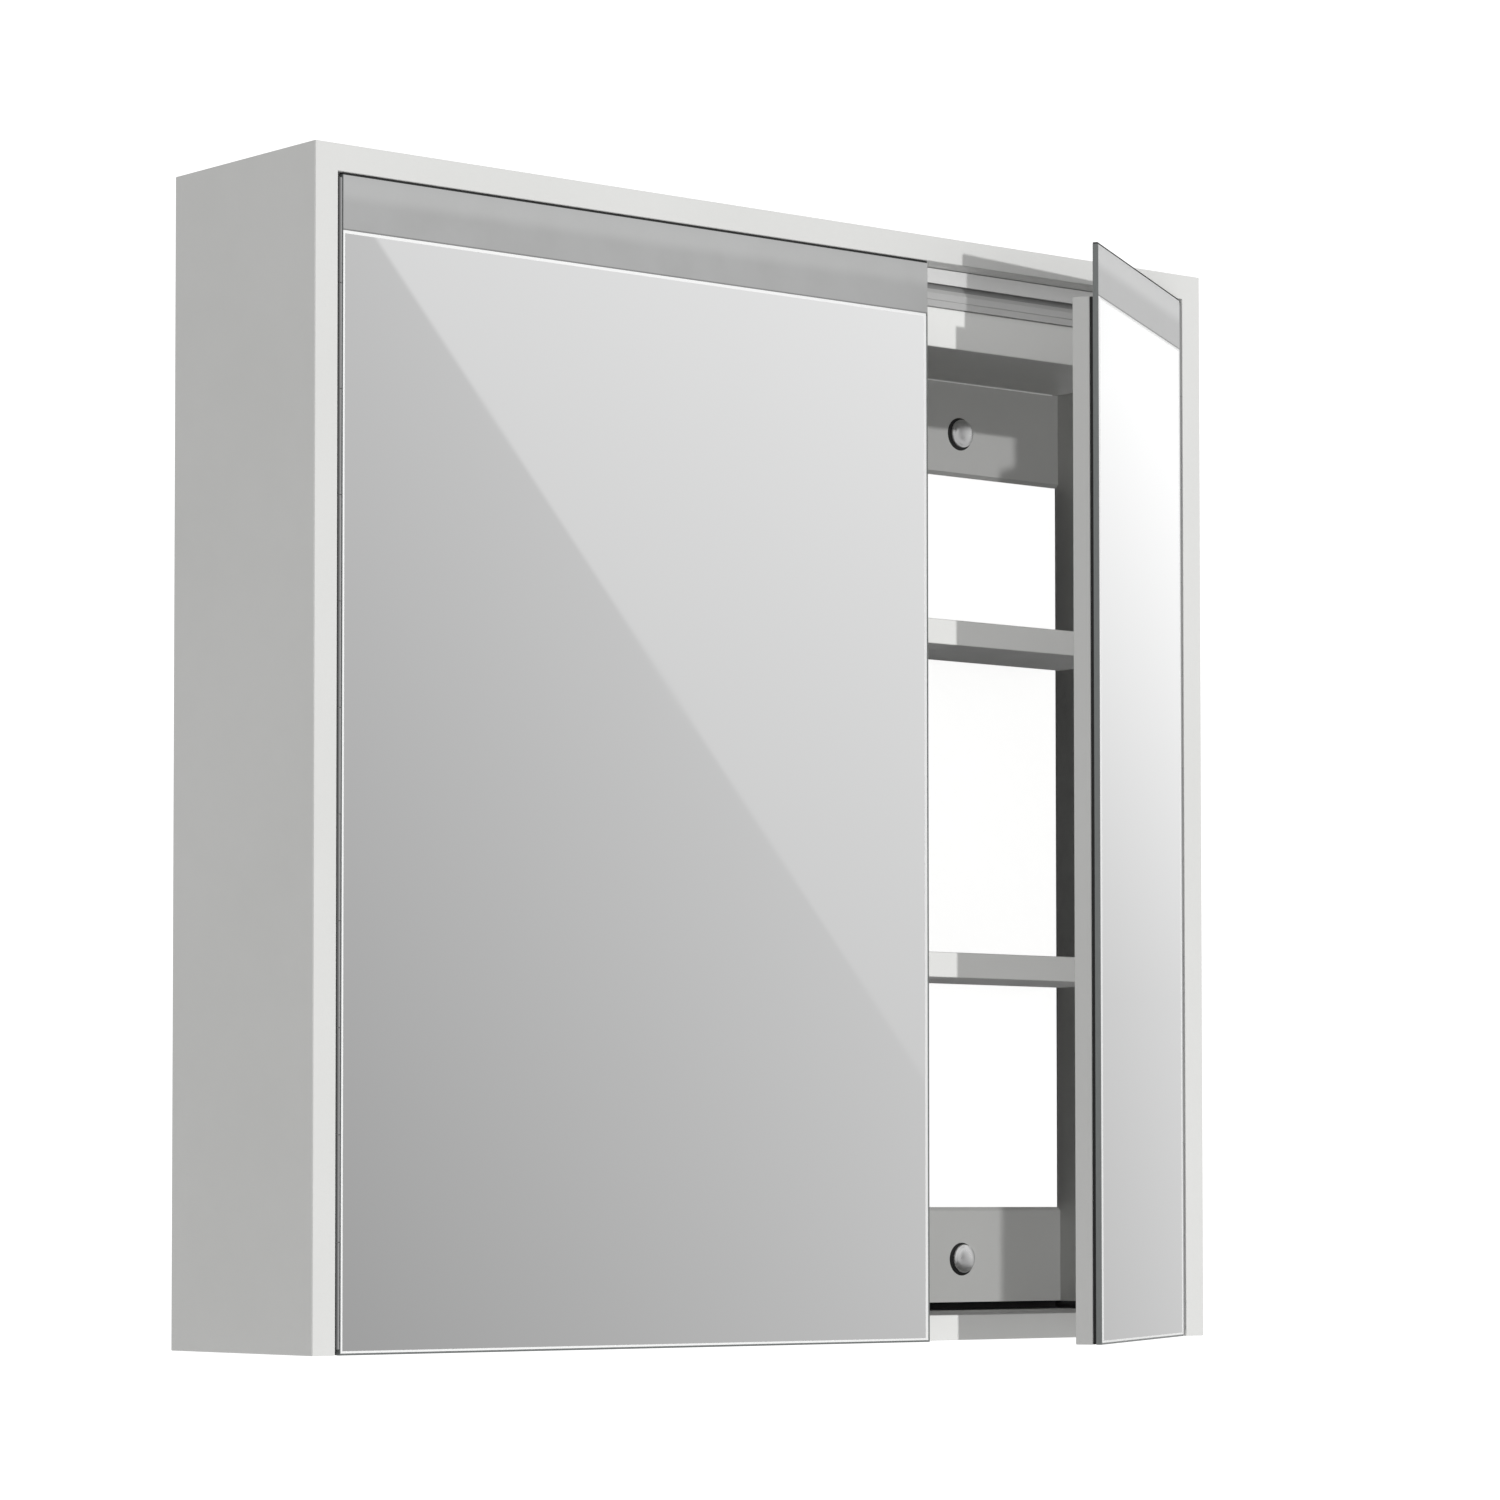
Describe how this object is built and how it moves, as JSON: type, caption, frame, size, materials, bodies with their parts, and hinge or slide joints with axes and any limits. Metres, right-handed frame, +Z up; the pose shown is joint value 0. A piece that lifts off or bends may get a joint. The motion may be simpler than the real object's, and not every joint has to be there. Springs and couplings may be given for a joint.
{
  "type": "medicine cabinet with mirror",
  "caption": "Wall-hung white bathroom cabinet with inset mirror doors, a light behind their satin top bands, and open shelves inside.",
  "frame": {"origin": "centre of the upper fixing rail's rear face, which meets the wall", "axes": "+Y into the wall, +Z up, +X to the right as seen from the room; the doors face -Y"},
  "size_m": [0.8, 0.2903, 0.78],
  "materials": {
    "white_melamine": "white melamine-faced board with matching edging, satin",
    "white_back_board": "bright white lacquered thin board, satin",
    "mirror_glass": "silvered float glass with polished edges",
    "satin_glass": "acid-etched glass band, translucent",
    "black_foam": "black closed-cell foam",
    "satin_aluminium": "satin anodised",
    "plated_steel": "zinc plated",
    "chrome_cap": "satin chrome",
    "opal_diffuser": "opal, matt",
    "light_strip": "white printed board with light chips",
    "white_plastic": "moulded, matt",
    "black_lead": "round flexible lead",
    "clear_bumper": "clear soft silicone"
  },
  "bodies": {
    "carcass": {"left_side_panel": "white_melamine", "right_side_panel": "white_melamine", "top_panel": "white_melamine", "bottom_panel": "white_melamine", "light_shelf": "white_melamine", "upper_fixing_rail": "white_melamine", "lower_fixing_rail": "white_melamine", "upper_shelf": "white_melamine", "lower_shelf": "white_melamine", "back_panel": "white_back_board", "lower_sealing_strip": "black_foam", "upper_left_wall_bush": "plated_steel", "upper_right_wall_bush": "plated_steel", "lower_left_wall_bush": "plated_steel", "lower_right_wall_bush": "plated_steel", "upper_left_cover_cap": "chrome_cap", "upper_right_cover_cap": "chrome_cap", "lower_left_cover_cap": "chrome_cap", "lower_right_cover_cap": "chrome_cap", "left_lower_front_shelf_peg": "plated_steel", "left_lower_rear_shelf_peg": "plated_steel", "left_upper_front_shelf_peg": "plated_steel", "left_upper_rear_shelf_peg": "plated_steel", "right_lower_front_shelf_peg": "plated_steel", "right_lower_rear_shelf_peg": "plated_steel", "right_upper_front_shelf_peg": "plated_steel", "right_upper_rear_shelf_peg": "plated_steel", "light_body": "satin_aluminium", "light_left_end_cap": "white_plastic", "light_right_end_cap": "white_plastic", "light_diffuser": "opal_diffuser", "light_strip": "light_strip", "light_driver": "white_plastic", "mains_terminal": "white_plastic", "terminal_lead": "black_lead", "strip_lead": "black_lead", "left_hinge_frame_leaf": "satin_aluminium", "left_hinge_pin": "plated_steel", "right_hinge_frame_leaf": "satin_aluminium", "right_hinge_pin": "plated_steel"},
    "left_door": {"left_mirror_pane": "mirror_glass", "left_mounting_tape": "black_foam", "left_carrier_board": "white_melamine", "left_hinge_door_leaf": "satin_aluminium", "left_upper_bumper": "clear_bumper", "left_lower_bumper": "clear_bumper"},
    "right_door": {"right_mirror_pane": "mirror_glass", "right_mounting_tape": "black_foam", "right_carrier_board": "white_melamine", "right_hinge_door_leaf": "satin_aluminium", "right_upper_bumper": "clear_bumper", "right_lower_bumper": "clear_bumper"}
  },
  "joints": [
    {"name": "left_door_hinge", "type": "hinge", "parent": "carcass", "child": "left_door", "pos_m": [-0.38, -0.159, 0], "axis": [0, 0, -1], "range_deg": [0, 105]},
    {"name": "right_door_hinge", "type": "hinge", "parent": "carcass", "child": "right_door", "pos_m": [0.38, -0.159, 0], "axis": [0, 0, 1], "range_deg": [-31.9, 73.1]}
  ]
}
